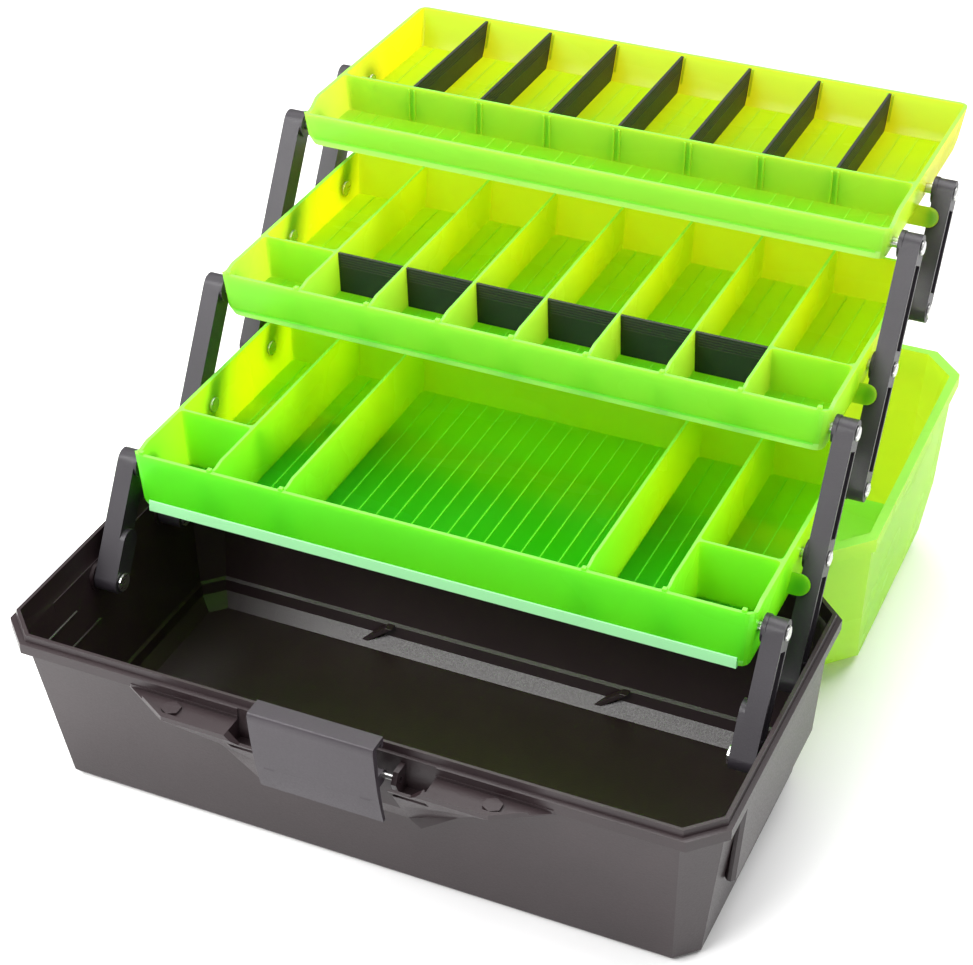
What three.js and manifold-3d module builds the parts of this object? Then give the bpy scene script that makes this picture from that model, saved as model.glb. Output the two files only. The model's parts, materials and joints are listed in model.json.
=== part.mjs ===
// Fishing tackle box with three cantilever trays, modelled fully open, in millimetres.
// +X is to the right, +Y to the back, +Z up. The origin is the middle of the base's underside.
// The lid lies open behind the base, and the trays stand on arms that lean back on their stops.
import * as THREE from 'three';
import { mergeVertices } from 'three/addons/utils/BufferGeometryUtils.js';
import Module from 'manifold-3d';

const wasm = await Module();
wasm.setup();

// ---- driving dimensions ----
const GAP = 0.35;
const BASE = {
  rimX: 212, rimY: 111.3, wallX: 208, wallY: 107.8, footX: 195.8, footY: 89.5, corner: 17.5, footCorner: 12,
};
const BASE_Z = { flange: 101, top: 112.3, floor: 3 };
const WALL = 2.6;
const LATCH_X = 36;
const LATCH_PIN = { y: -116.5, z: 97.5, r: 1.6 };
const HINGE = { y: 124.5, z: 116, pinR: 2.4, x: 110 };
const LID_OPEN_DEG = 177.4;
const LID = { rimX: 212, rimY: 111.3, corner: 20, bottom: 113, shoulder: 194, top: 231.5, wall: 2.4 };
const RECESS = { x: 122, y0: -34, y1: 20, depth: 15 };
const HANDLE = { half: 112, y: 12, z: LID.top - 7.5, reach: 38, thick: 11, pinR: 1.8 };
const ARM = { y: 35.5, z: 60.5, half: 7.5, x0: 190.4, x1: 201.6, foot: 187.2 };
const LINK = Math.hypot(ARM.y, ARM.z);
const LEAN = Math.atan2(ARM.y, ARM.z);
const PITCH = 72.5;
const BASE_PIVOT = { y: -18, z: 88.5 };
const RIVET = { r: 3, hole: 3.4, head: 4.8 };

// Each tray: half length, front, middle wall, back, bottom, wall heights and how far its back leans.
const TRAYS = [
  { halfX: 187, front: 4, mid: 57, back: 193, bottom: 125.5, top: 164.5, lip: 165, backSlope: 4 },
  { halfX: 188, front: 114.5, mid: 168, back: 296, bottom: 196, top: 225, lip: 225.5, backSlope: 6 },
  { halfX: 186, front: 219.5, mid: 276, back: 394.5, bottom: 262, top: 287, lip: 284, backSlope: 11 },
];
const TRAY_WALL = 2;
const TRAY_DRAFT = 3;
const CELL = 45.6;
const DIVIDER = 1.6;

// ---- materials ----
const COLOUR = {
  charcoal: new THREE.MeshStandardMaterial({ color: 0x2b292c, roughness: 0.42 }),
  black: new THREE.MeshStandardMaterial({ color: 0x121614, roughness: 0.5 }),
  latch: new THREE.MeshStandardMaterial({ color: 0x3a383c, roughness: 0.45 }),
  green: new THREE.MeshStandardMaterial({ color: 0x55e61e, roughness: 0.3 }),
  lid: new THREE.MeshStandardMaterial({ color: 0xb4f03c, roughness: 0.3 }),
  steel: new THREE.MeshStandardMaterial({ color: 0xb8b8b4, roughness: 0.3, metalness: 1 }),
};

// ---- geometry helpers ----
function solid(geometry) {
  const plain = geometry.clone();
  plain.deleteAttribute('normal');
  plain.deleteAttribute('uv');
  const merged = mergeVertices(plain, 1e-4);
  const vertProperties = Float32Array.from(merged.attributes.position.array);
  const triVerts = Uint32Array.from(merged.index.array);
  return new wasm.Manifold(new wasm.Mesh({ numProp: 3, vertProperties, triVerts }));
}

function cut(body, tools) {
  return tools.reduce((left, tool) => left.subtract(solid(tool)), body);
}

function join(body, pieces) {
  return pieces.reduce((left, piece) => left.add(solid(piece)), body);
}

function geometryOf(body) {
  const mesh = body.getMesh();
  const geometry = new THREE.BufferGeometry();
  geometry.setAttribute('position', new THREE.BufferAttribute(Float32Array.from(mesh.vertProperties), 3));
  geometry.setIndex(new THREE.BufferAttribute(Uint32Array.from(mesh.triVerts), 1));
  geometry.computeVertexNormals();
  return geometry;
}

function mirrorX(geometry) {
  const mirrored = geometry.clone().applyMatrix4(new THREE.Matrix4().makeScale(-1, 1, 1));
  const index = Array.from(mirrored.index.array);
  for (let i = 0; i < index.length; i += 3) {
    [index[i + 1], index[i + 2]] = [index[i + 2], index[i + 1]];
  }
  mirrored.setIndex(index);
  return mirrored;
}

// A closed solid through a stack of outlines with equal point counts, each a list of [x, y] and a height.
function loft(levels) {
  const count = levels[0].outline.length;
  const points = levels.flatMap(({ outline, z }) => outline.flatMap(([x, y]) => [x, y, z]));
  const index = [];
  for (let level = 0; level + 1 < levels.length; level++) {
    for (let i = 0; i < count; i++) {
      const a = level * count + i;
      const b = level * count + ((i + 1) % count);
      index.push(a, b, b + count, a, b + count, a + count);
    }
  }
  const flat = levels[0].outline.map(([x, y]) => new THREE.Vector2(x, y));
  const last = (levels.length - 1) * count;
  for (const [a, b, c] of THREE.ShapeUtils.triangulateShape(flat, [])) {
    index.push(a, c, b, last + a, last + b, last + c);
  }
  const geometry = new THREE.BufferGeometry();
  geometry.setAttribute('position', new THREE.Float32BufferAttribute(points, 3));
  geometry.setIndex(index);
  return geometry;
}

// Outline with straight chamfered corners, counter-clockwise from above.
function chamfered(halfX, y0, y1, c) {
  return [
    [halfX - c, y0], [halfX, y0 + c], [halfX, y1 - c], [halfX - c, y1],
    [-halfX + c, y1], [-halfX, y1 - c], [-halfX, y0 + c], [-halfX + c, y0],
  ];
}

// Outline with rounded corners, counter-clockwise from above.
function rounded(x0, x1, y0, y1, r, steps = 3) {
  const centres = [[x1 - r, y0 + r, -90], [x1 - r, y1 - r, 0], [x0 + r, y1 - r, 90], [x0 + r, y0 + r, 180]];
  return centres.flatMap(([cx, cy, start]) => Array.from({ length: steps + 1 }, (_, i) => {
    const angle = THREE.MathUtils.degToRad(start + (90 * i) / steps);
    return [cx + r * Math.cos(angle), cy + r * Math.sin(angle)];
  }));
}

// A flat outline in the Y-Z plane, extruded along X.
function extrudeX(shape, x0, x1, curveSegments = 6) {
  const geometry = new THREE.ExtrudeGeometry(shape, { depth: x1 - x0, bevelEnabled: false, curveSegments });
  const turn = new THREE.Matrix4().makeBasis(
    new THREE.Vector3(0, 1, 0), new THREE.Vector3(0, 0, 1), new THREE.Vector3(1, 0, 0));
  return geometry.applyMatrix4(turn).translate(x0, 0, 0);
}

function polygon(points) {
  return new THREE.Shape(points.map(([x, y]) => new THREE.Vector2(x, y)));
}

function box(x0, x1, y0, y1, z0, z1) {
  return new THREE.BoxGeometry(x1 - x0, y1 - y0, z1 - z0)
    .translate((x0 + x1) / 2, (y0 + y1) / 2, (z0 + z1) / 2);
}

function rodX(radius, x0, x1, y, z, segments = 14) {
  return new THREE.CylinderGeometry(radius, radius, x1 - x0, segments)
    .rotateZ(Math.PI / 2).translate((x0 + x1) / 2, y, z);
}

// The same rod and box for either end of the object: near and far are distances from the middle.
function rodOut(side, radius, near, far, y, z, segments) {
  return rodX(radius, Math.min(side * near, side * far), Math.max(side * near, side * far), y, z, segments);
}

function boxOut(side, near, far, y0, y1, z0, z1) {
  return box(Math.min(side * near, side * far), Math.max(side * near, side * far), y0, y1, z0, z1);
}

// A turned piece along X: profile points are [distance along X, radius], closed on the axis at both ends.
function turnedX(profile, y, z, segments = 12) {
  const points = profile.map(([along, radius]) => new THREE.Vector2(radius, along));
  return new THREE.LatheGeometry(points, segments).rotateZ(-Math.PI / 2).translate(0, y, z);
}

// A link outline from z = low to z = high with round ends.
function capsule(half, low, high) {
  const shape = new THREE.Shape();
  shape.moveTo(half, low);
  shape.lineTo(half, high);
  shape.absarc(0, high, half, 0, Math.PI, false);
  shape.lineTo(-half, low);
  shape.absarc(0, low, half, Math.PI, 2 * Math.PI, false);
  return shape;
}

const tackleBox = new THREE.Group();

function addMesh(parent, name, geometry, material) {
  const mesh = new THREE.Mesh(geometry, material);
  mesh.name = name;
  parent.add(mesh);
  return mesh;
}

// ---- base tub ----
function baseOutline(z, halfX, halfY, corner) {
  return { z, outline: chamfered(halfX, -halfY, halfY, corner) };
}

function baseShell() {
  const { rimX, rimY, wallX, wallY, footX, footY, corner, footCorner } = BASE;
  const outer = loft([
    baseOutline(0, footX - 2.5, footY - 2.5, footCorner - 1),
    baseOutline(3, footX, footY, footCorner),
    baseOutline(BASE_Z.flange - 4, wallX - 0.6, wallY - 0.8, corner),
    baseOutline(BASE_Z.flange, rimX, rimY, corner + 0.4),
    baseOutline(BASE_Z.flange + 6.5, rimX, rimY, corner + 0.4),
    baseOutline(BASE_Z.flange + 7, rimX - 2.6, rimY - 2.6, corner),
    baseOutline(BASE_Z.top, rimX - 2.9, rimY - 2.9, corner),
  ]);
  const inner = loft([
    baseOutline(BASE_Z.floor, footX - WALL - 6, footY - WALL - 6, footCorner - 3),
    baseOutline(BASE_Z.floor + 8, footX - WALL + 0.6, footY - WALL + 1, footCorner - 1),
    baseOutline(BASE_Z.floor + 16, footX - WALL + 1, footY - WALL + 1.4, footCorner - 1),
    baseOutline(BASE_Z.floor + 17.5, footX - WALL + 2.4, footY - WALL + 3.2, footCorner),
    baseOutline(BASE_Z.flange - 4, wallX - WALL - 0.6, wallY - WALL - 0.8, corner - 1),
    baseOutline(BASE_Z.flange + 1, wallX - WALL + 1.4, wallY - WALL + 1.2, corner - 1),
    baseOutline(BASE_Z.top + 1, wallX - WALL + 1.6, wallY - WALL + 1.4, corner - 1),
  ]);
  return solid(outer).subtract(solid(inner));
}

// The flange swells forward around the latch, and tapers back into the front wall underneath.
function latchHousing() {
  const level = (z, reach, wide, near) => ({
    z,
    outline: [
      [-wide, -103], [-wide + 4, -109], [-near, -reach],
      [near, -reach], [wide - 4, -109], [wide, -103],
    ],
  });
  return loft([
    level(60, 104, 52, 38), level(76, 113, 74, 46), level(88, 120, 102, 66),
    level(100, 128.5, 132, 95), level(103, 128.5, 132, 95),
  ]);
}

function baseTub() {
  const low = BASE_Z.flange + 3;
  const ledges = [-1, 1].map((side) => loft([
    { z: 101, outline: ledgeOutline(side, 1.6) }, { z: low + 9, outline: ledgeOutline(side, 1.6) },
  ]));
  const notches = [-1, 1].map((side) => loft([
    { z: 96.5, outline: rounded(side * 43 - 7, side * 43 + 7, -140, -122, 0.5, 1) },
    { z: 104, outline: rounded(side * 45 - 13, side * 45 + 13, -140, -122, 0.5, 1) },
  ]));
  const ledgePads = [-1, 1].map((side) => hexagonPad(side * 93.7, -119.5, 5.5, 100, 102.6));
  const pads = [-1, 1].map((side) => loft([
    { z: 44, outline: rounded(side * 204 - 3, side * 204 + 3, -64, 72, 2, 1) },
    { z: 98, outline: rounded(side * 207.5 - 3, side * 207.5 + 3, -64, 72, 2, 1) },
  ]));
  const lugs = [-1, 1].flatMap((side) => [-15, 15].map((shift) => hingeLug(side * HINGE.x + shift)));
  const body = join(baseShell(), [latchHousing(), ...pads, ...lugs]);
  const opened = cut(body, [
    ...ledges,
    ...notches,
    box(-LATCH_X - 1, LATCH_X + 1, -140, -110.6, 58, 120),
    box(-LATCH_X - 22, LATCH_X + 22, -124, -110.6, 88, 120),
    ...[-HINGE.x, HINGE.x].map((x) => rodX(HINGE.pinR + GAP, x - 30, x + 30, HINGE.y, HINGE.z)),
  ]);
  const cheeks = [-1, 1].map((side) => latchCheek(side));
  const bosses = pivotSides((side, y, z) => rodOut(side, 9, 202.2, 205.4, y, z, 16));
  const ribs = pivotSides((side, y) => boxOut(side, 202.4, 204.4, y - 1, y + 1, 40, 88));
  const sockets = pivotSides((side, y, z) => rodOut(side, RIVET.hole, 201, 205, y, z));
  const inside = baseOutlineSolid();
  const trimmedRibs = ribs.map((rib) => solid(rib).intersect(inside));
  const fitted = join(opened, [...cheeks, ...bosses, ...ledgePads]);
  const withParts = trimmedRibs.reduce((left, rib) => left.add(rib), fitted);
  const pinBore = rodX(LATCH_PIN.r + GAP, -LATCH_X - 5, LATCH_X + 5, LATCH_PIN.y, LATCH_PIN.z, 10);
  return geometryOf(cut(withParts, [...sockets, pinBore]));
}

// The space within the base's outer skin, so that inner ribs never stand out through it.
function baseOutlineSolid() {
  return solid(loft([
    baseOutline(3, BASE.footX - 1, BASE.footY - 1, BASE.footCorner),
    baseOutline(BASE_Z.flange - 4, BASE.wallX - 1.6, BASE.wallY - 1.8, BASE.corner),
  ]));
}

function ledgeOutline(side, margin) {
  const outline = [
    [128, -111.8], [95, -126.9 + margin], [58, -126.9 + margin], [58, -111.8],
  ].map(([x, y]) => [side * x, y]);
  return side > 0 ? outline.reverse() : outline;
}

function hexagonPad(x, y, radius, low, high) {
  return new THREE.CylinderGeometry(radius, radius, high - low, 6)
    .rotateX(Math.PI / 2).translate(x, y, (low + high) / 2);
}

function hingeLug(x) {
  const shape = new THREE.Shape();
  shape.moveTo(106.5, 96);
  shape.lineTo(112, 101);
  shape.lineTo(HINGE.y + 5, HINGE.z - 4.2);
  shape.absarc(HINGE.y, HINGE.z, 6.5, -0.7, Math.PI * 0.62, false);
  shape.lineTo(106.5, 110);
  return extrudeX(shape, x - 6, x + 6, 4);
}

function latchCheek(side) {
  const shape = polygon([[-107, 80], [-107, 104], [-119, 104], [-122.5, 98], [-119, 90]]);
  const inner = LATCH_X + 1.5;
  return extrudeX(shape, side > 0 ? inner : -inner - 3, side > 0 ? inner + 3 : -inner);
}

function pivotSides(make) {
  return [-1, 1].flatMap((side) => [0, PITCH].map((shift) => make(side, BASE_PIVOT.y + shift, BASE_PIVOT.z)));
}

// ---- latch ----
function latchGeometry() {
  const shape = new THREE.Shape();
  shape.moveTo(-126.2, 132.6);
  shape.lineTo(-136.6, 132.6);
  shape.bezierCurveTo(-138.6, 132.6, -138.4, 129, -137.9, 126);
  shape.bezierCurveTo(-136.5, 112, -133.5, 92, -128.6, 76.5);
  shape.lineTo(-126.4, 76.9);
  shape.bezierCurveTo(-129.6, 88, -132.2, 104, -134, 126);
  shape.lineTo(-134.3, 129.9);
  shape.lineTo(-128.2, 129.9);
  shape.lineTo(-128.2, 126.5);
  shape.lineTo(-126.2, 126.5);
  const plate = solid(extrudeX(shape, -LATCH_X, LATCH_X, 8));
  const arm = polygon([[-133.2, 93], [-132.4, 102], [-117, 101.4], [-113, 97.5], [-117, 93.6]]);
  const arms = [-1, 1].map((side) => extrudeX(arm, side * 28 - 3, side * 28 + 3));
  return geometryOf(cut(join(plate, arms), [rodX(LATCH_PIN.r + GAP, -50, 50, LATCH_PIN.y, LATCH_PIN.z, 10)]));
}

// ---- lid, built closed and then turned open about the rear hinge ----
function lidOutline(z, halfX, y0, y1, corner) {
  return { z, outline: chamfered(halfX, y0, y1, corner) };
}

function lidGeometry() {
  const { rimX, rimY, corner, bottom, shoulder, top, wall } = LID;
  const outer = loft([
    lidOutline(bottom, rimX, -rimY, rimY, corner),
    lidOutline(bottom + 9, rimX, -rimY, rimY, corner),
    lidOutline(bottom + 11, rimX - 3, -rimY + 3, rimY - 3, corner),
    lidOutline(shoulder, rimX - 7, -rimY + 7, rimY - 8, corner + 1),
    lidOutline(top - 3, rimX - 11.5, -rimY + 13, rimY - 27, corner + 3),
    lidOutline(top, rimX - 15, -rimY + 16, rimY - 31, corner + 3),
  ]);
  const inner = loft([
    lidOutline(bottom - 1, rimX - 3 - wall, -rimY + 3 + wall, rimY - 3 - wall, corner - 1),
    lidOutline(shoulder, rimX - 7 - wall, -rimY + 7 + wall, rimY - 8 - wall, corner),
    lidOutline(top - wall, rimX - 13.5 - wall, -rimY + 15 + wall, rimY - 29 - wall, corner + 2),
  ]);
  const pan = box(-RECESS.x - wall, RECESS.x + wall, RECESS.y0 - wall, RECESS.y1 + wall,
    top - RECESS.depth - wall, top - 1);
  const well = box(-RECESS.x, RECESS.x, RECESS.y0, RECESS.y1, top - RECESS.depth, top + 1);
  const knuckles = [-1, 1].map((side) => lidKnuckle(side * HINGE.x));
  const body = cut(join(solid(outer).subtract(solid(inner)), [pan, ...knuckles]), [well]);
  const bores = [-1, 1].flatMap((side) => [
    rodX(HINGE.pinR + GAP, side * HINGE.x - 12, side * HINGE.x + 12, HINGE.y, HINGE.z),
    rodOut(side, HANDLE.pinR + GAP, HANDLE.half + 5, HANDLE.half + 9.5, HANDLE.y, HANDLE.z, 10),
  ]);
  const ears = [-1, 1].map((side) => boxOut(side, HANDLE.half + 6.4, RECESS.x + 0.5,
    HANDLE.y - 6, HANDLE.y + 6, top - RECESS.depth - 0.5, top - 2.5));
  return geometryOf(cut(join(body, ears), bores));
}

function lidKnuckle(x) {
  const shape = new THREE.Shape();
  shape.moveTo(107, LID.bottom + 9);
  shape.lineTo(107, LID.bottom + 0.8);
  shape.lineTo(HINGE.y - 5, HINGE.z - 4.2);
  shape.absarc(HINGE.y, HINGE.z, 6.5, Math.PI * 1.25, Math.PI * 2.5, false);
  return extrudeX(shape, x - 8.4, x + 8.4, 4);
}

// ---- handle, folded flat in the lid's recess ----
function handleGeometry() {
  const { half, y, z, reach, thick } = HANDLE;
  const outline = new THREE.Shape();
  outline.moveTo(half + 6, y + 5);
  outline.lineTo(half - 5, y + 5);
  outline.lineTo(half - 8, y - 18);
  outline.bezierCurveTo(half - 11, y - 27, half - 20, y - 26, half - 30, y - 26);
  outline.lineTo(-half + 30, y - 26);
  outline.bezierCurveTo(-half + 20, y - 26, -half + 11, y - 27, -half + 8, y - 18);
  outline.lineTo(-half + 5, y + 5);
  outline.lineTo(-half - 6, y + 5);
  outline.lineTo(-half - 6, y - 14);
  outline.bezierCurveTo(-half - 5, y - reach + 4, -half + 4, y - reach - 3, -half + 22, y - reach - 3);
  outline.lineTo(half - 22, y - reach - 3);
  outline.bezierCurveTo(half - 4, y - reach - 3, half + 5, y - reach + 4, half + 6, y - 14);
  const bar = new THREE.ExtrudeGeometry(outline, { depth: thick, bevelEnabled: false, curveSegments: 5 })
    .translate(0, 0, z - thick / 2);
  const bores = [-1, 1].map((side) => rodOut(side, HANDLE.pinR + GAP, half - 9, half + 9, y, z, 10));
  return geometryOf(cut(solid(bar), bores));
}

function handlePin(side) {
  const profile = [[-7.5, 0], [-7.5, 1], [-7, HANDLE.pinR], [7.6, HANDLE.pinR], [7.6, 0]];
  const flipped = side > 0 ? profile : profile.map(([along, r]) => [-along, r]).reverse();
  const placed = flipped.map(([along, r]) => [along + side * (HANDLE.half + 1), r]);
  return turnedX(placed, HANDLE.y, HANDLE.z, 10);
}

// ---- trays ----
// How far each kind of wall leans into a compartment, at its floor, at the bend above it and at the top.
const CELL_LEVELS = [
  { up: TRAY_WALL, divider: 0.5, end: 3.2, front: 4.4, rear: 1 },
  { up: 7.5, divider: 0.4, end: 2.2, front: 1.9, rear: 0.72 },
  { up: null, divider: 0, end: 0, front: 0, rear: -0.03 },
];

function cell(tray, x0, x1, y0, y1) {
  const isEnd = (x) => Math.abs(x) > tray.halfX - 4;
  const isFront = y0 < tray.front + 4;
  const isRear = y1 > tray.back - 4;
  return loft(CELL_LEVELS.map(({ up, divider, end, front, rear }) => ({
    z: up === null ? tray.top + 5 : tray.bottom + up,
    outline: rounded(
      x0 + (isEnd(x0) ? end : divider), x1 - (isEnd(x1) ? end : divider),
      y0 + (isFront ? front : divider), y1 - (isRear ? rear * tray.backSlope : divider), 2.4, 2),
  })));
}

function trayOuter(tray) {
  const { halfX, front, back, bottom, top, backSlope } = tray;
  const level = (z, inset, forward, rear) => ({
    z, outline: rounded(-halfX + inset, halfX - inset, front + forward, back - rear, 5.5, 3),
  });
  return loft([
    level(bottom, TRAY_DRAFT + 0.5, 5.4, backSlope + 0.5),
    level(bottom + 6.5, TRAY_DRAFT - 0.8, 1.8, backSlope * 0.75),
    level(Math.max(top, tray.lip) + 4, -0.3, -0.2, -0.5),
  ]);
}

// The tops of the walls: low at the front wall, curving up to the level of the dividers.
function trayTopCut(tray) {
  const { front, lip, top, back } = tray;
  const shape = new THREE.Shape();
  shape.moveTo(front - 5, lip);
  shape.lineTo(front + 3.2, lip);
  shape.bezierCurveTo(front + 5, lip - 2.6, front + 9, lip - 2.2, front + 13, lip - 0.8);
  shape.bezierCurveTo(front + 16, lip + 0.2, front + 18, top, front + 23, top);
  shape.lineTo(back + 5, top);
  shape.lineTo(back + 5, top + 30);
  shape.lineTo(front - 5, top + 30);
  return extrudeX(shape, -tray.halfX - 10, tray.halfX + 10, 3);
}

// A rounded stop tab that stands out of the end wall, just in front of an arm.
function stopTab(side, pivotY, pivotZ) {
  const along = -17;
  const y = pivotY + along * Math.sin(LEAN);
  const z = pivotZ + along * Math.cos(LEAN);
  const offset = ARM.half + GAP + 1.4;
  const shape = new THREE.Shape();
  shape.moveTo(-12, -6);
  shape.lineTo(3, -6);
  shape.absarc(3, 0, 6, -Math.PI / 2, Math.PI / 2, false);
  shape.lineTo(-12, 6);
  const tab = new THREE.ExtrudeGeometry(shape, { depth: 2.4, bevelEnabled: false, curveSegments: 5 })
    .translate(0, 0, -1.2).rotateX(Math.PI / 2).rotateX(-LEAN)
    .translate(188, y - offset * Math.cos(LEAN), z + offset * Math.sin(LEAN));
  return side > 0 ? tab : mirrorX(mergeVertices(tab));
}

function trayPivots(number) {
  const y = BASE_PIVOT.y + ARM.y + number * (PITCH + ARM.y);
  const z = BASE_PIVOT.z + ARM.z * (number + 1);
  const count = number < 2 ? 3 : 2;
  return Array.from({ length: count }, (_, i) => ({ y: y + i * PITCH, z }));
}

function trayCells(number, tray) {
  const half = DIVIDER / 2;
  const { halfX, front, mid, back } = tray;
  const wallX = halfX - TRAY_WALL;
  const lines = [-3, -2, -1, 0, 1, 2, 3].map((i) => i * CELL);
  const edges = [-wallX, ...lines, wallX];
  const y0 = front + TRAY_WALL;
  const y1 = back - TRAY_WALL;
  const span = (i, j) => [i === 0 ? edges[0] : edges[i] + half, j === 8 ? edges[8] : edges[j] - half];
  const split = (i, j) => [
    cell(tray, ...span(i, j), y0, mid - half), cell(tray, ...span(i, j), mid + half, y1),
  ];
  const whole = (i, j) => [cell(tray, ...span(i, j), y0, y1)];
  if (number === 0) {
    return [...split(0, 1), ...whole(1, 2), ...whole(2, 6), ...whole(6, 7), ...split(7, 8)];
  }
  if (number === 1) {
    return [0, 1, 2, 3, 4, 5, 6, 7].flatMap((i) => (i === 0 || i === 7 ? split(i, i + 1) : whole(i, i + 1)));
  }
  return split(0, 8);
}

function trayPosts(number, tray) {
  const inner = number === 0 ? [-3, -2, 2, 3] : [-3, -2, -1, 0, 1, 2, 3];
  const places = [...inner.map((i) => i * CELL), -tray.halfX + 6, tray.halfX - 6];
  const { front, lip } = tray;
  return places.map((x) => box(x - 1.2, x + 1.2, front + 0.4, front + 3, lip - 3, lip + 1.8));
}

function trayGeometry(number) {
  const tray = TRAYS[number];
  const hollow = cut(solid(trayOuter(tray)), [...trayCells(number, tray), trayTopCut(tray)]);
  const pivots = trayPivots(number);
  const tabs = [-1, 1].map((side) => stopTab(side, pivots[1].y, pivots[1].z));
  const posts = number < 2 ? trayPosts(number, tray) : [];
  const inside = endWallInside(tray, pivots[1].z - 10);
  const withTabs = cut(join(hollow, [...tabs, ...posts]), tabPockets(pivots[1], tray, inside));
  const holes = pivots.flatMap(({ y, z }) => [-1, 1].map((side) => rodOut(side, RIVET.hole, 178, 196, y, z)));
  return geometryOf(cut(withTabs, holes));
}

// Where a stop tab's root would stand into a compartment, it is trimmed flush with the wall's inside.
function tabPockets(pivot, tray, inside) {
  return [-1, 1].map((side) => boxOut(side, 172, inside,
    pivot.y - 30, pivot.y - 6, tray.bottom + TRAY_WALL + 1, tray.top + 2));
}

// The inside face of the end wall at a height, as a distance from the middle.
function endWallInside(tray, z) {
  const [, bend, rim] = CELL_LEVELS;
  const [low, high] = z < tray.bottom + bend.up ? CELL_LEVELS : [bend, rim];
  const heightOf = (level) => (level.up === null ? tray.top + 5 : tray.bottom + level.up);
  const share = (z - heightOf(low)) / (heightOf(high) - heightOf(low));
  return tray.halfX - TRAY_WALL - THREE.MathUtils.lerp(low.end, high.end, share);
}

// ---- removable dividers ----
function upperDivider(index) {
  const tray = TRAYS[2];
  const x = (index - 3) * CELL;
  const low = tray.bottom + TRAY_WALL + GAP;
  const high = tray.top - 1;
  const y0 = tray.mid + DIVIDER / 2 + GAP;
  const y1 = tray.back - TRAY_WALL - 2 * GAP;
  const bend = CELL_LEVELS[1];
  const shape = polygon([[y0 + 1.2, low], [y1 - tray.backSlope, low],
    [y1 - bend.rear * tray.backSlope, tray.bottom + bend.up], [y1 - 1.6, high], [y0, high]]);
  return extrudeX(shape, x - 0.9, x + 0.9);
}

function middleDivider(index) {
  const tray = TRAYS[1];
  const x = (index - 2.5) * CELL;
  const half = CELL / 2 - DIVIDER / 2 - GAP;
  const low = tray.bottom + TRAY_WALL + GAP;
  const high = tray.top - 0.4;
  const shape = polygon([[x - half + 0.9, low], [x + half - 0.9, low], [x + half, high], [x - half, high]]);
  return new THREE.ExtrudeGeometry(shape, { depth: 1.8, bevelEnabled: false })
    .rotateX(Math.PI / 2).translate(0, tray.mid + 0.9, 0);
}

// ---- arms, each built upright from its lower pivot and then leaned back ----
function armGeometry({ length, pivots, footIn, lowIn }) {
  const outerX = ARM.x1;
  const innerX = ARM.x0;
  const bar = solid(extrudeX(capsule(ARM.half, 0, length), innerX, outerX, 5));
  const pieces = [];
  const pockets = [];
  if (footIn) {
    pieces.push(extrudeX(capsule(ARM.half, 0, 24), ARM.foot, innerX + 1, 5));
  }
  const bosses = pivots.filter((at) => at > 0 || lowIn);
  bosses.forEach((at) => pieces.push(rodX(ARM.half + 0.6, 188.8, innerX + 1, 0, at, 16)));
  const spans = pivots.slice(1).map((at, i) => [pivots[i] + 10.5, at - 10.5]);
  const pocketHalf = ARM.half - 2.2;
  spans.forEach(([from, to]) => {
    pockets.push(box(innerX + 2.6, outerX + 1, -pocketHalf, pocketHalf, from, to));
  });
  pivots.forEach((at) => pockets.push(rodX(RIVET.hole, 180, 206, 0, at)));
  return geometryOf(cut(join(bar, pieces), pockets));
}

const ARMS = [
  { name: 'lower_front_arm', from: BASE_PIVOT, length: LINK, pivots: [0, LINK], footIn: true },
  { name: 'lower_rear_arm', from: { y: BASE_PIVOT.y + PITCH, z: BASE_PIVOT.z }, length: 2 * LINK,
    pivots: [0, LINK, 2 * LINK], footIn: true },
  { name: 'upper_front_arm', from: trayPivots(0)[2], length: 2 * LINK,
    pivots: [0, LINK, 2 * LINK], lowIn: true },
  { name: 'upper_rear_arm', from: trayPivots(1)[2], length: LINK, pivots: [0, LINK], lowIn: true },
];

function addArms() {
  for (const arm of ARMS) {
    const right = armGeometry(arm);
    for (const [side, geometry] of [['right', right], ['left', mirrorX(right)]]) {
      const mesh = addMesh(tackleBox, `${arm.name}_${side}`, geometry, COLOUR.charcoal);
      mesh.position.set(0, arm.from.y, arm.from.z);
      mesh.rotation.x = -LEAN;
    }
  }
}

// ---- rivets ----
// The shank runs through the tray wall and the arm, with a head at each end.
function rivetProfile(inner, outer) {
  const { r, head } = RIVET;
  return [[inner - 1.3, 0], [inner - 1.3, head], [inner, head], [inner, r],
    [outer, r], [outer, head - 0.2], [outer + 1, head - 0.8], [outer + 1, 0]];
}

function addRivet(name, profile, y, z) {
  for (const side of [1, -1]) {
    const placed = side > 0 ? profile : profile.map(([along, r]) => [-along, r]).reverse();
    addMesh(tackleBox, `${name}_${side > 0 ? 'right' : 'left'}`, turnedX(placed, y, z), COLOUR.steel);
  }
}

function addRivets() {
  TRAYS.forEach((tray, number) => {
    const trayName = ['lower', 'middle', 'upper'][number];
    trayPivots(number).forEach(({ y, z }, i) => {
      const inner = endWallInside(tray, z - RIVET.head) - GAP;
      addRivet(`${trayName}_tray_rivet_${i + 1}`, rivetProfile(inner, ARM.x1 + GAP), y, z);
    });
  });
  [0, 1].forEach((i) => {
    const profile = [[ARM.foot - GAP - 1.3, 0], [ARM.foot - GAP - 1.3, 5.6], [ARM.foot - GAP, 5.6],
      [ARM.foot - GAP, RIVET.r], [204.6, RIVET.r], [204.6, 0]];
    addRivet(`base_pivot_pin_${i + 1}`, profile, BASE_PIVOT.y + i * PITCH, BASE_PIVOT.z);
  });
}

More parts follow.
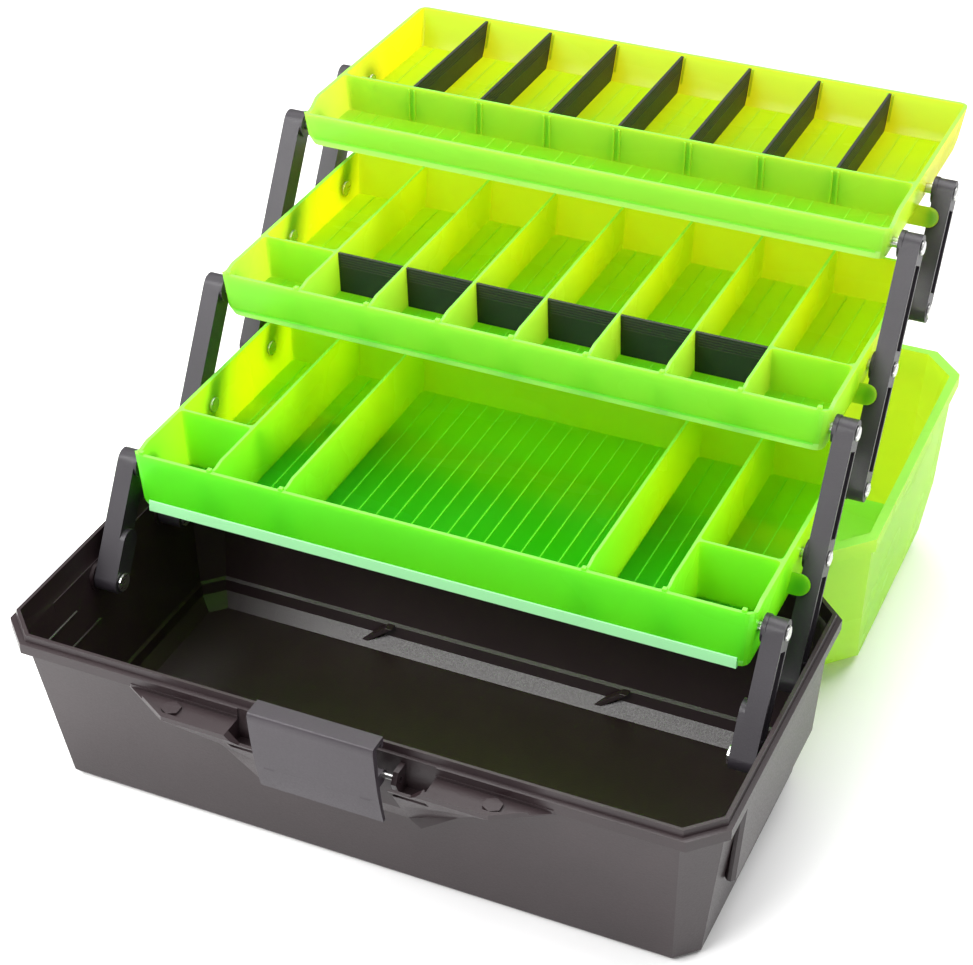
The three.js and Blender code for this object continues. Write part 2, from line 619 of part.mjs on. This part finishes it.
// ---- assembly ----
addMesh(tackleBox, 'base_tub', baseTub(), COLOUR.charcoal);
addMesh(tackleBox, 'latch', latchGeometry(), COLOUR.latch);
addMesh(tackleBox, 'latch_pin', rodX(LATCH_PIN.r, -39, 39, LATCH_PIN.y, LATCH_PIN.z, 10), COLOUR.steel);
for (const side of [1, -1]) {
  const name = side > 0 ? 'hinge_pin_right' : 'hinge_pin_left';
  const pin = rodX(HINGE.pinR, side * HINGE.x - 21, side * HINGE.x + 21, HINGE.y, HINGE.z);
  addMesh(tackleBox, name, pin, COLOUR.steel);
}

const lidTurn = new THREE.Group();
lidTurn.position.set(0, HINGE.y, HINGE.z);
lidTurn.rotation.x = -THREE.MathUtils.degToRad(LID_OPEN_DEG);
const lidParts = new THREE.Group();
lidParts.position.set(0, -HINGE.y, -HINGE.z);
lidTurn.add(lidParts);
tackleBox.add(lidTurn);
addMesh(lidParts, 'lid', lidGeometry(), COLOUR.lid);
addMesh(lidParts, 'handle', handleGeometry(), COLOUR.black);
addMesh(lidParts, 'handle_pin_right', handlePin(1), COLOUR.steel);
addMesh(lidParts, 'handle_pin_left', handlePin(-1), COLOUR.steel);

['lower_tray', 'middle_tray', 'upper_tray'].forEach((name, number) => {
  addMesh(tackleBox, name, trayGeometry(number), COLOUR.green);
});
for (let i = 0; i < 7; i++) {
  addMesh(tackleBox, `upper_divider_${i + 1}`, upperDivider(i), COLOUR.black);
}
for (let i = 0; i < 6; i++) {
  addMesh(tackleBox, `middle_divider_${i + 1}`, middleDivider(i), COLOUR.black);
}
addArms();
addRivets();

export default tackleBox;
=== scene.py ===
"""Looks of the fishing tackle box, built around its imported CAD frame.

The object's sizes are in millimetres. The camera, the lamps, the floor and Blender itself work in metres.
"""
import json
import math

import bmesh
import bpy
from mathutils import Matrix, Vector


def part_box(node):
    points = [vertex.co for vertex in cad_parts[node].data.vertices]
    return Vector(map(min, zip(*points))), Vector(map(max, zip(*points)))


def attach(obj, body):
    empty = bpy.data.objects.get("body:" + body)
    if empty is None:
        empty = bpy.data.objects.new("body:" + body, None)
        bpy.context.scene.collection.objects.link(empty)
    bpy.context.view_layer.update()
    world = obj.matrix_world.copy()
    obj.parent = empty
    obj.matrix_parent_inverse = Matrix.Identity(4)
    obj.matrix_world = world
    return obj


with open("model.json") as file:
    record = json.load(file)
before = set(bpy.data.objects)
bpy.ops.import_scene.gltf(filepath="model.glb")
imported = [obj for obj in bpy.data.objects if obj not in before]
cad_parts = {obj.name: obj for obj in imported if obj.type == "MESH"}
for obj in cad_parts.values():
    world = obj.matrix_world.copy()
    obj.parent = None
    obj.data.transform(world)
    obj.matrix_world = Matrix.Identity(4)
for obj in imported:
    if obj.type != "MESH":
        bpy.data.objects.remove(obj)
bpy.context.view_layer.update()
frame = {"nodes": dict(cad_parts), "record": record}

MM = 0.001
NODES = frame["nodes"]

# Each tray's driving sizes, as the CAD has them, and the colours of the light that comes through it at
# the front and at the back; the change from front to back is painted backlight, not a change in the
# plastic.
TRAYS = {
    "lower_tray": dict(half=187, front=4, mid=57, back=193, bottom=125.5, top=164.5, lean=4,
                       glow=((0.52, 0.93, 0.15), (0.86, 0.98, 0.05))),
    "middle_tray": dict(half=188, front=114.5, mid=168, back=296, bottom=196, top=225, lean=6,
                        glow=((0.74, 0.90, 0.26), (0.98, 0.94, 0.06))),
    "upper_tray": dict(half=186, front=219.5, mid=276, back=394.5, bottom=262, top=287, lean=11,
                       glow=((0.84, 0.93, 0.32), (1.0, 0.84, 0.07))),
}
CELL = 45.6
WALL = 2.0


# ---- camera, floor and light ----
def add_camera():
    """The main view, from the front right and above."""
    camera = bpy.data.objects.new("camera", bpy.data.cameras.new("camera"))
    bpy.context.scene.collection.objects.link(camera)
    camera.data.sensor_width = 36
    camera.data.lens = 86.85
    camera.data.clip_end = 20
    camera.location = (0.4531, -0.9326, 0.9070)
    camera.rotation_euler = (math.radians(55.67), 0, math.radians(24.05))
    bpy.context.scene.camera = camera


def add_area(name, place, target, size, power):
    """A white rectangular lamp that shines from its place towards its target."""
    lamp = bpy.data.objects.new(name, bpy.data.lights.new(name, "AREA"))
    lamp.data.shape = "RECTANGLE"
    lamp.data.size, lamp.data.size_y = size
    lamp.data.energy = power
    lamp.location = place
    lamp.rotation_euler = (Vector(target) - Vector(place)).to_track_quat("-Z", "Y").to_euler()
    bpy.context.scene.collection.objects.link(lamp)


def add_world():
    world = bpy.data.worlds.new("studio")
    bpy.context.scene.world = world
    world.use_nodes = True
    background = world.node_tree.nodes["Background"]
    background.inputs["Color"].default_value = (1, 1, 1, 1)
    background.inputs["Strength"].default_value = 0.42


FLOOR_GAP = 0.0004


def add_floor():
    """A wide plane a little below the object, so that their faces don't coincide."""
    mesh = bpy.data.meshes.new("floor")
    reach = 6.0
    mesh.from_pydata([(-reach, -reach, 0), (reach, -reach, 0), (reach, reach, 0), (-reach, reach, 0)],
                     [], [(0, 1, 2, 3)])
    floor = bpy.data.objects.new("floor", mesh)
    floor.location.z = -FLOOR_GAP
    bpy.context.scene.collection.objects.link(floor)
    floor.data.materials.append(floor_material())


# ---- materials ----
# Painted reflection: a pale mint colour on the down-sloping chamfers under the tray fronts, standing in for
# the bright floor reflected there.
PAINTED_CHAMFER_REFLECTION = (0.42, 0.95, 0.42)


class Shader:
    """A material under construction: short calls that add and join nodes."""

    def __init__(self, name):
        self.material = bpy.data.materials.new(name)
        self.material.use_nodes = True
        self.tree = self.material.node_tree
        self.bsdf = self.tree.nodes["Principled BSDF"]
        self.output = self.tree.nodes["Material Output"]
        self.place = self.tree.nodes.new("ShaderNodeTexCoord").outputs["Object"]

    def add(self, kind, **settings):
        node = self.tree.nodes.new(kind)
        for key, value in settings.items():
            setattr(node, key, value)
        return node

    def link(self, source, target):
        self.tree.links.new(source, target)

    def noise(self, scale, detail=2.0, stretch=(1, 1, 1)):
        mapping = self.add("ShaderNodeMapping")
        mapping.inputs["Scale"].default_value = stretch
        self.link(self.place, mapping.inputs["Vector"])
        noise = self.add("ShaderNodeTexNoise")
        noise.inputs["Scale"].default_value = scale
        noise.inputs["Detail"].default_value = detail
        self.link(mapping.outputs["Vector"], noise.inputs["Vector"])
        return noise.outputs["Fac"]

    def span(self, value, low, high, to_low=0.0, to_high=1.0):
        remap = self.add("ShaderNodeMapRange")
        for key, number in (("From Min", low), ("From Max", high), ("To Min", to_low), ("To Max", to_high)):
            remap.inputs[key].default_value = number
        self.link(value, remap.inputs["Value"])
        return remap.outputs["Result"]

    def math(self, operation, a, b):
        node = self.add("ShaderNodeMath", operation=operation)
        for socket, value in zip(node.inputs, (a, b)):
            if isinstance(value, (int, float)):
                socket.default_value = value
            else:
                self.link(value, socket)
        return node.outputs[0]

    def mix(self, share, first, second):
        node = self.add("ShaderNodeMix", data_type="RGBA")
        self.link(share, node.inputs["Factor"])
        for socket, value in ((node.inputs["A"], first), (node.inputs["B"], second)):
            if isinstance(value, tuple):
                socket.default_value = (*value, 1)
            else:
                self.link(value, socket)
        return node.outputs["Result"]

    def bump(self, height, strength, distance):
        node = self.add("ShaderNodeBump")
        node.inputs["Strength"].default_value = strength
        node.inputs["Distance"].default_value = distance
        self.link(height, node.inputs["Height"])
        return node.outputs["Normal"]


def floor_material():
    shader = Shader("pale_floor")
    shade = shader.mix(shader.noise(3.0), (0.93, 0.93, 0.93), (0.97, 0.97, 0.97))
    shader.link(shade, shader.bsdf.inputs["Base Color"])
    shader.bsdf.inputs["Roughness"].default_value = 0.9
    shader.bsdf.inputs["Specular IOR Level"].default_value = 0.1
    return shader.material


def satin_plastic(name, dark, light, roughness, grain=0.12):
    """Moulded plastic with a fine leather-like grain and slightly uneven sheen."""
    shader = Shader(name)
    cloud = shader.noise(28.0, 3.0)
    shader.link(shader.mix(cloud, dark, light), shader.bsdf.inputs["Base Color"])
    fine = shader.noise(900.0, 4.0)
    shader.link(shader.span(fine, 0.3, 0.7, roughness - 0.05, roughness + 0.06),
                shader.bsdf.inputs["Roughness"])
    shader.link(shader.bump(fine, grain, 0.0004), shader.bsdf.inputs["Normal"])
    shader.bsdf.inputs["Specular IOR Level"].default_value = 0.42
    shader.bsdf.inputs["Coat Weight"].default_value = 0.05
    shader.bsdf.inputs["Coat Roughness"].default_value = 0.3
    return shader.material


def frosted_plastic(name, body, deep, edge, glow, low, high, share=0.7, near=0.0, far=1.0):
    """Translucent moulding, lit from behind, with painted light: painted shade makes the colour deeper low
    in a wall, a painted highlight makes its flat top edges pale, a painted reflection marks the chamfers
    under the front, and the translucent colour changes from front to back as painted backlight.
    """
    shader = Shader(name)
    split = shader.add("ShaderNodeSeparateXYZ")
    shader.link(shader.place, split.inputs[0])
    height = split.outputs["Z"]
    cloud = shader.noise(22.0, 3.0)
    # Painted shade: the colour runs from deep low in the wall to the body colour at the top, standing in
    # for less light reaching the floor of a cell.
    rise = shader.math("ADD", shader.span(height, low, high), shader.span(cloud, 0.3, 0.7, -0.08, 0.08))
    facing = shader.add("ShaderNodeSeparateXYZ")
    geometry = shader.add("ShaderNodeNewGeometry")
    shader.link(geometry.outputs["True Normal"], facing.inputs[0])
    # Painted highlight: flat upward faces above the lower third of the wall get the pale edge colour,
    # standing in for light gathering in the top edges.
    flat_top = shader.span(facing.outputs["Z"], 0.75, 0.97)
    depth = high - low
    above = shader.span(height, low + depth * 0.3, low + depth * 0.36)
    pale = shader.math("MULTIPLY", flat_top, above)
    surface = shader.mix(rise, deep, body)
    surface = shader.mix(pale, surface, edge)
    # Painted reflection of the bright floor on the down-sloping front chamfers.
    surface = shader.mix(chamfer_reflection_mask(shader, facing.outputs), surface, PAINTED_CHAMFER_REFLECTION)
    shader.link(surface, shader.bsdf.inputs["Base Color"])
    fine = shader.noise(700.0, 3.0)
    flow = shader.noise(18.0, 2.0, (0.3, 1, 1))
    shader.link(shader.span(flow, 0.3, 0.7, 0.2, 0.32), shader.bsdf.inputs["Roughness"])
    shader.link(shader.bump(fine, 0.05, 0.0003), shader.bsdf.inputs["Normal"])
    shader.bsdf.inputs["Specular IOR Level"].default_value = 0.5
    behind = shader.add("ShaderNodeBsdfTranslucent")
    # Painted backlight: the translucent colour shifts from the front glow to the back glow with depth, and
    # the painted highlight's pale edge colour is laid over it.
    backward = shader.span(split.outputs["Y"], near, far)
    through = shader.mix(backward, glow[0], glow[1])
    shader.link(shader.mix(pale, through, edge), behind.inputs["Color"])
    blend = shader.add("ShaderNodeMixShader")
    blend.inputs["Fac"].default_value = share
    shader.link(shader.bsdf.outputs[0], blend.inputs[1])
    shader.link(behind.outputs[0], blend.inputs[2])
    shader.link(blend.outputs[0], shader.output.inputs["Surface"])
    return shader.material


def chamfer_reflection_mask(shader, facing):
    """Picks out the faces that slope in under the front of a tray, where a pale painted reflection of the
    bright floor is laid over the wall colour.
    """
    down = shader.math("MULTIPLY", facing["Z"], -1.0)
    sloped = shader.math("SUBTRACT", shader.span(down, 0.3, 0.4), shader.span(down, 0.6, 0.75))
    forward = shader.span(shader.math("MULTIPLY", facing["Y"], -1.0), 0.6, 0.8)
    return shader.math("MULTIPLY", sloped, forward)


def plated_steel(name):
    shader = Shader(name)
    streaks = shader.noise(500.0, 3.0, (1, 0.15, 1))
    shader.link(shader.mix(streaks, (0.5, 0.5, 0.49), (0.74, 0.74, 0.72)), shader.bsdf.inputs["Base Color"])
    shader.link(shader.span(streaks, 0.3, 0.7, 0.24, 0.4), shader.bsdf.inputs["Roughness"])
    shader.bsdf.inputs["Metallic"].default_value = 1.0
    return shader.material


def tray_frost(name, tray, body, deep, edge):
    """Frosted plastic with painted shade that follows a tray's height and a painted backlight colour that
    follows its depth from front to back.
    """
    return frosted_plastic(
        name, body=body, deep=deep, edge=edge,
        glow=tray["glow"], low=tray["bottom"] * MM, high=tray["top"] * MM,
        near=(tray["front"] + 8) * MM, far=(tray["mid"] + tray["back"]) / 2 * MM)


def tray_plastic(name):
    # deep is painted shade low in the tray, edge a painted highlight on its flat top edges.
    return tray_frost("green_" + name, TRAYS[name],
                      body=(0.09, 0.74, 0.06), deep=(0.01, 0.50, 0.003), edge=(0.45, 0.96, 0.22))


def rib_plastic(name):
    """A tray's plastic where it stands up in a thin rib: paler, because light gathers in it."""
    green = (0.12, 0.78, 0.07)
    return tray_frost("green_ribs_" + name, TRAYS[name], body=green, deep=green, edge=(0.19, 0.84, 0.11))


MATERIALS = {
    "charcoal_plastic": satin_plastic(
        "charcoal_plastic", (0.015, 0.008, 0.0095), (0.024, 0.014, 0.016), 0.38, grain=0.2),
    "arm_plastic": satin_plastic("arm_plastic", (0.017, 0.014, 0.018), (0.030, 0.026, 0.032), 0.45),
    "latch_plastic": satin_plastic("latch_plastic", (0.020, 0.015, 0.020), (0.034, 0.027, 0.034), 0.44),
    "black_plastic": satin_plastic("black_plastic", (0.008, 0.010, 0.009), (0.014, 0.018, 0.015), 0.48),
    "steel": plated_steel("steel"),
    # The lid's paler edge colour is a painted highlight on its flat upward faces.
    "lid_plastic": frosted_plastic(
        "lid_plastic", body=(0.40, 0.90, 0.14), deep=(0.40, 0.90, 0.14), edge=(0.5, 0.96, 0.24),
        glow=((1.0, 1.0, 0.14), (1.0, 1.0, 0.14)), low=-0.3, high=0.09, share=0.6),
}
TRAY_MATERIALS = {name: tray_plastic(name) for name in TRAYS}
# The divider grip lines are given a slightly lighter black than the dividers.
GRIP_MATERIAL = satin_plastic("lighter_black_plastic", (0.020, 0.024, 0.018), (0.032, 0.036, 0.028), 0.4)
# Painted reflection: the broad band on the lower tray's front is a pale mint sheet standing in for the
# bright floor reflected in its lower front.
PAINTED_REFLECTION_STRIP = frosted_plastic(
    "painted_reflection_strip", body=(0.50, 0.96, 0.56), deep=(0.50, 0.96, 0.56), edge=(0.55, 0.97, 0.58),
    glow=((0.60, 1.0, 0.50), (0.60, 1.0, 0.50)), low=0.1, high=0.2, share=0.35)
RIB_MATERIALS = {name: rib_plastic(name) for name in TRAYS}
BODY_OF = {node: body for body, nodes in frame["record"]["behaviour"]["bodies"].items() for node in nodes}
SLOT_OF = {part["node"]: part["material_slot"] for part in frame["record"]["subparts"]}
# Widths of the rounded edges. A node that isn't named here has the arms' width or the small one.
BEVELS = {
    "base_tub": 0.7, "lid": 0.6, "latch": 0.5, "handle": 0.9,
    "lower_tray": 0.3, "middle_tray": 0.3, "upper_tray": 0.3,
}
ARM_BEVEL = 0.55
SMALL_BEVEL = 0.2


def dress_nodes():
    """Gives every CAD node its material and a small rounded edge."""
    for name, node in NODES.items():
        material = TRAY_MATERIALS.get(name) or MATERIALS[SLOT_OF[name]]
        node.data.materials.clear()
        node.data.materials.append(material)
        width = BEVELS.get(name, ARM_BEVEL if "_arm_" in name else SMALL_BEVEL)
        round_edges(node, width * MM)


def round_edges(piece, width):
    """Rounds the edges between flat faces by a width in metres."""
    weld = piece.modifiers.new("weld", "WELD")
    weld.merge_threshold = 0.00001
    bevel = piece.modifiers.new("bevel", "BEVEL")
    bevel.width = width
    bevel.segments = 2
    bevel.limit_method = "ANGLE"
    bevel.angle_limit = math.radians(28)
    bevel.harden_normals = False
    piece.data.shade_smooth()
    piece.modifiers.new("even_normals", "WEIGHTED_NORMAL")


# ---- detail pieces ----
def new_piece(name, shape, body, material, edge=0.0):
    """Turns a finished bmesh into a piece of the object."""
    mesh = bpy.data.meshes.new(name)
    bmesh.ops.recalc_face_normals(shape, faces=shape.faces)
    shape.to_mesh(mesh)
    shape.free()
    piece = bpy.data.objects.new(name, mesh)
    bpy.context.scene.collection.objects.link(piece)
    mesh.materials.append(material)
    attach(piece, body)
    if edge:
        round_edges(piece, edge * MM)
    return piece


def add_prism(shape, outline, low, high, along="x"):
    """Extrudes an outline from low to high along X (outline in Y-Z) or along Y (outline in X-Z)."""
    def place(point, distance):
        if along == "x":
            return Vector((distance, point[0], point[1])) * MM
        return Vector((point[0], distance, point[1])) * MM
    near = [shape.verts.new(place(point, low)) for point in outline]
    far = [shape.verts.new(place(point, high)) for point in outline]
    count = len(outline)
    shape.faces.new(near)
    shape.faces.new(reversed(far))
    for i in range(count):
        j = (i + 1) % count
        shape.faces.new((near[j], near[i], far[i], far[j]))


def floor_strips(name, tray):
    """The front-to-back lines on a tray's floor, as spans of x, y0 and y1."""
    front = tray["front"] + WALL + 5.2
    back = tray["back"] - WALL - tray["lean"] - 1.5
    wall_gap = 2
    for i in range(-15, 16):
        x = i * CELL / 4
        under_divider = i % 4 == 0 and (name != "lower_tray" or abs(i) >= 8)
        if under_divider:
            continue
        if name == "lower_tray" and abs(i) < 12:
            yield x, front, back
        else:
            yield x, front, tray["mid"] - wall_gap
            yield x, tray["mid"] + wall_gap, back


def add_floor_ribs():
    for name, tray in TRAYS.items():
        shape = bmesh.new()
        floor = tray["bottom"] + WALL
        half_foot, half_crest, rise = 0.55, 0.3, 0.3
        for x, y0, y1 in floor_strips(name, tray):
            outline = [(x - half_foot, floor - rise), (x + half_foot, floor - rise),
                       (x + half_crest, floor + rise), (x - half_crest, floor + rise)]
            add_prism(shape, outline, y0, y1, along="y")
        new_piece("floor_ribs_" + name, shape, name, RIB_MATERIALS[name])


# A front strip's foot and top above the tray's underside, and how far it stands out from the wall.
THIN_STRIP = dict(foot=5.6, top=6.8, proud=0.9)
BROAD_STRIP = dict(foot=1.4, top=8.2, proud=0.2)


def add_front_strips():
    """The moulding along the foot of each tray's front wall: on the lower tray a broad band whose pale
    colour is a painted reflection.
    """
    for name, tray in TRAYS.items():
        broad = name == "lower_tray"
        strip = BROAD_STRIP if broad else THIN_STRIP
        foot, top = tray["bottom"] + strip["foot"], tray["bottom"] + strip["top"]
        face, inner = tray["front"] + strip["proud"], tray["front"] + 2.6
        shape = bmesh.new()
        outline = [(inner + 1.5, foot), (face + 0.5, foot), (face + 0.9, top), (inner, top + 0.6)]
        end_gap = 8
        reach = tray["half"] - end_gap
        add_prism(shape, outline, -reach, reach)
        new_piece("front_strip_" + name, shape, name,
                  PAINTED_REFLECTION_STRIP if broad else RIB_MATERIALS[name], 0.2)


UPPER_DIVIDERS = range(-3, 4)
MIDDLE_DIVIDERS = range(6)


def add_slot_ribs():
    """Pairs of guides that hold each removable divider of the upper tray."""
    tray = TRAYS["upper_tray"]
    shape = bmesh.new()
    low, bend, high = tray["bottom"] + WALL + 0.2, tray["bottom"] + 7.5, tray["top"] - 1.5
    middle = tray["mid"] + 0.6
    slope = (high - bend) / (tray["top"] + 5 - bend)
    foot = tray["back"] - WALL - tray["lean"] * 0.72
    rear = foot + tray["lean"] * 0.75 * slope
    wall_guide = [(middle - 2.6, low), (middle + 1.7, low), (middle + 1.4, high), (middle - 2.3, high)]
    rear_guide = [(foot + 0.3, bend), (rear + 0.3, high), (rear - 1.0, high), (foot - 1.0, bend)]
    half_gap, half_width = 1.9, 0.55
    for i in UPPER_DIVIDERS:
        for side in (-1, 1):
            x = i * CELL + side * half_gap
            for guide in (wall_guide, rear_guide):
                add_prism(shape, guide, x - half_width, x + half_width)
    new_piece("divider_guides_upper", shape, "upper_tray",
              TRAY_MATERIALS["upper_tray"], 0.15)


GRIP_LINES = 5
GRIP_PITCH = 1.7
DIVIDER_HALF = 0.9


def grip_outline(surface, z):
    """A low raised line that straddles a divider's face."""
    proud, half = 0.32, 0.38
    return [(surface - proud, z - half), (surface + proud, z - half),
            (surface + proud, z + half), (surface - proud, z + half)]


def add_divider_grip():
    """Fine raised lines along the top of each removable divider."""
    upper, middle = TRAYS["upper_tray"], TRAYS["middle_tray"]
    shape = bmesh.new()
    for i in UPPER_DIVIDERS:
        for k in range(GRIP_LINES):
            z = upper["top"] - 2.6 - GRIP_PITCH * k
            y0, y1 = upper["mid"] + 4, upper["back"] - WALL - 5 - 0.6 * k
            for side in (-1, 1):
                add_prism(shape, grip_outline(i * CELL + side * DIVIDER_HALF, z), y0, y1, along="y")
    new_piece("divider_lines_upper", shape, "upper_tray", GRIP_MATERIAL)
    shape = bmesh.new()
    half_line = 19.5
    for i in MIDDLE_DIVIDERS:
        x = (i - 2.5) * CELL
        for k in range(GRIP_LINES):
            z = middle["top"] - 2.2 - GRIP_PITCH * k
            for side in (-1, 1):
                outline = grip_outline(middle["mid"] + side * DIVIDER_HALF, z)
                add_prism(shape, outline, x - half_line, x + half_line)
    new_piece("divider_lines_middle", shape, "middle_tray", GRIP_MATERIAL)


# An eyelet's profile from its dimple outwards, as radius and height over its seat.
EYELET = [(1.1, -0.2), (1.5, 0.15), (2.3, 0.55), (3.3, 0.5), (4.1, 0.1), (4.3, -0.3)]
EYELET_SINK = 0.35
EYELET_STEPS = 28


def add_eyelet(name, node):
    """A rolled rim with a dimple over the outer end of one rivet."""
    low, high = (Vector(corner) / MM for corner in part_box(node))
    side = 1 if high.x > 0 else -1
    face = (high.x if side > 0 else -low.x) - EYELET_SINK
    y, z = (low.y + high.y) / 2, (low.z + high.z) / 2
    shape = bmesh.new()
    rings = []
    for radius, out in EYELET:
        ring = []
        for i in range(EYELET_STEPS):
            turn = 2 * math.pi * i / EYELET_STEPS
            ring.append(shape.verts.new(Vector(
                (side * (face + out), y + radius * math.cos(turn), z + radius * math.sin(turn))) * MM))
        rings.append(ring)
    shape.faces.new(rings[0])
    shape.faces.new(reversed(rings[-1]))
    for near, far in zip(rings, rings[1:]):
        for i in range(EYELET_STEPS):
            j = (i + 1) % EYELET_STEPS
            shape.faces.new((near[i], near[j], far[j], far[i]))
    piece = new_piece(name, shape, BODY_OF[node], MATERIALS["steel"])
    piece.data.shade_smooth()


def add_eyelets():
    for node in NODES:
        if "_rivet_" in node or node.startswith("base_pivot_pin"):
            add_eyelet("eyelet_" + node, node)


def add_wall_beads():
    """Two low moulded beads along each end wall inside the base. The walls lean in towards the floor."""
    wall_x, wall_z, draft, sunk = 204.8, 97, 0.12, 0.25
    half_depth, half_face, half_foot = 0.5, 0.4, 1.0
    front = -80
    shape = bmesh.new()
    for side in (-1, 1):
        for back, z in ((-25, 62), (-44, 80)):
            reach = wall_x - (wall_z - z) * draft - sunk
            inner, outer = side * (reach - half_depth), side * (reach + half_depth)
            outline = [(inner, z - half_face), (outer, z - half_foot),
                       (outer, z + half_foot), (inner, z + half_face)]
            add_prism(shape, outline, front, back, along="y")
    new_piece("end_wall_beads", shape, "base", MATERIALS["charcoal_plastic"], 0.2)


def add_rear_step():
    """Two slanting studs over the bevel between the base's floor and its rear wall."""
    low, high, width, lean = 5.4, 19.5, 5, 17
    front, back = 83.5, 90.4
    shape = bmesh.new()
    for x in (-86, 69):
        outline = [(x, low), (x + width, low), (x + lean + width, high), (x + lean, high)]
        add_prism(shape, outline, front, back, along="y")
    new_piece("rear_step_ribs", shape, "base", MATERIALS["charcoal_plastic"], 0.5)


add_camera()
add_world()
add_floor()
add_area("key", place=(-0.7, -1.3, 1.5), target=(0, 0.1, 0.1), size=(1.4, 1.0), power=44)
add_area("top", place=(0.1, 0.6, 2.0), target=(0, 0.2, 0.1), size=(2.2, 1.6), power=58)
add_area("left", place=(-1.7, -0.3, 0.8), target=(0, 0.1, 0.1), size=(0.8, 1.4), power=30)
add_area("right", place=(1.6, -0.2, 0.9), target=(0, 0.1, 0.1), size=(0.8, 1.4), power=2)
dress_nodes()
add_floor_ribs()
add_front_strips()
add_slot_ribs()
add_divider_grip()
add_eyelets()
add_wall_beads()
add_rear_step()
bpy.context.scene.view_settings.view_transform = "Standard"
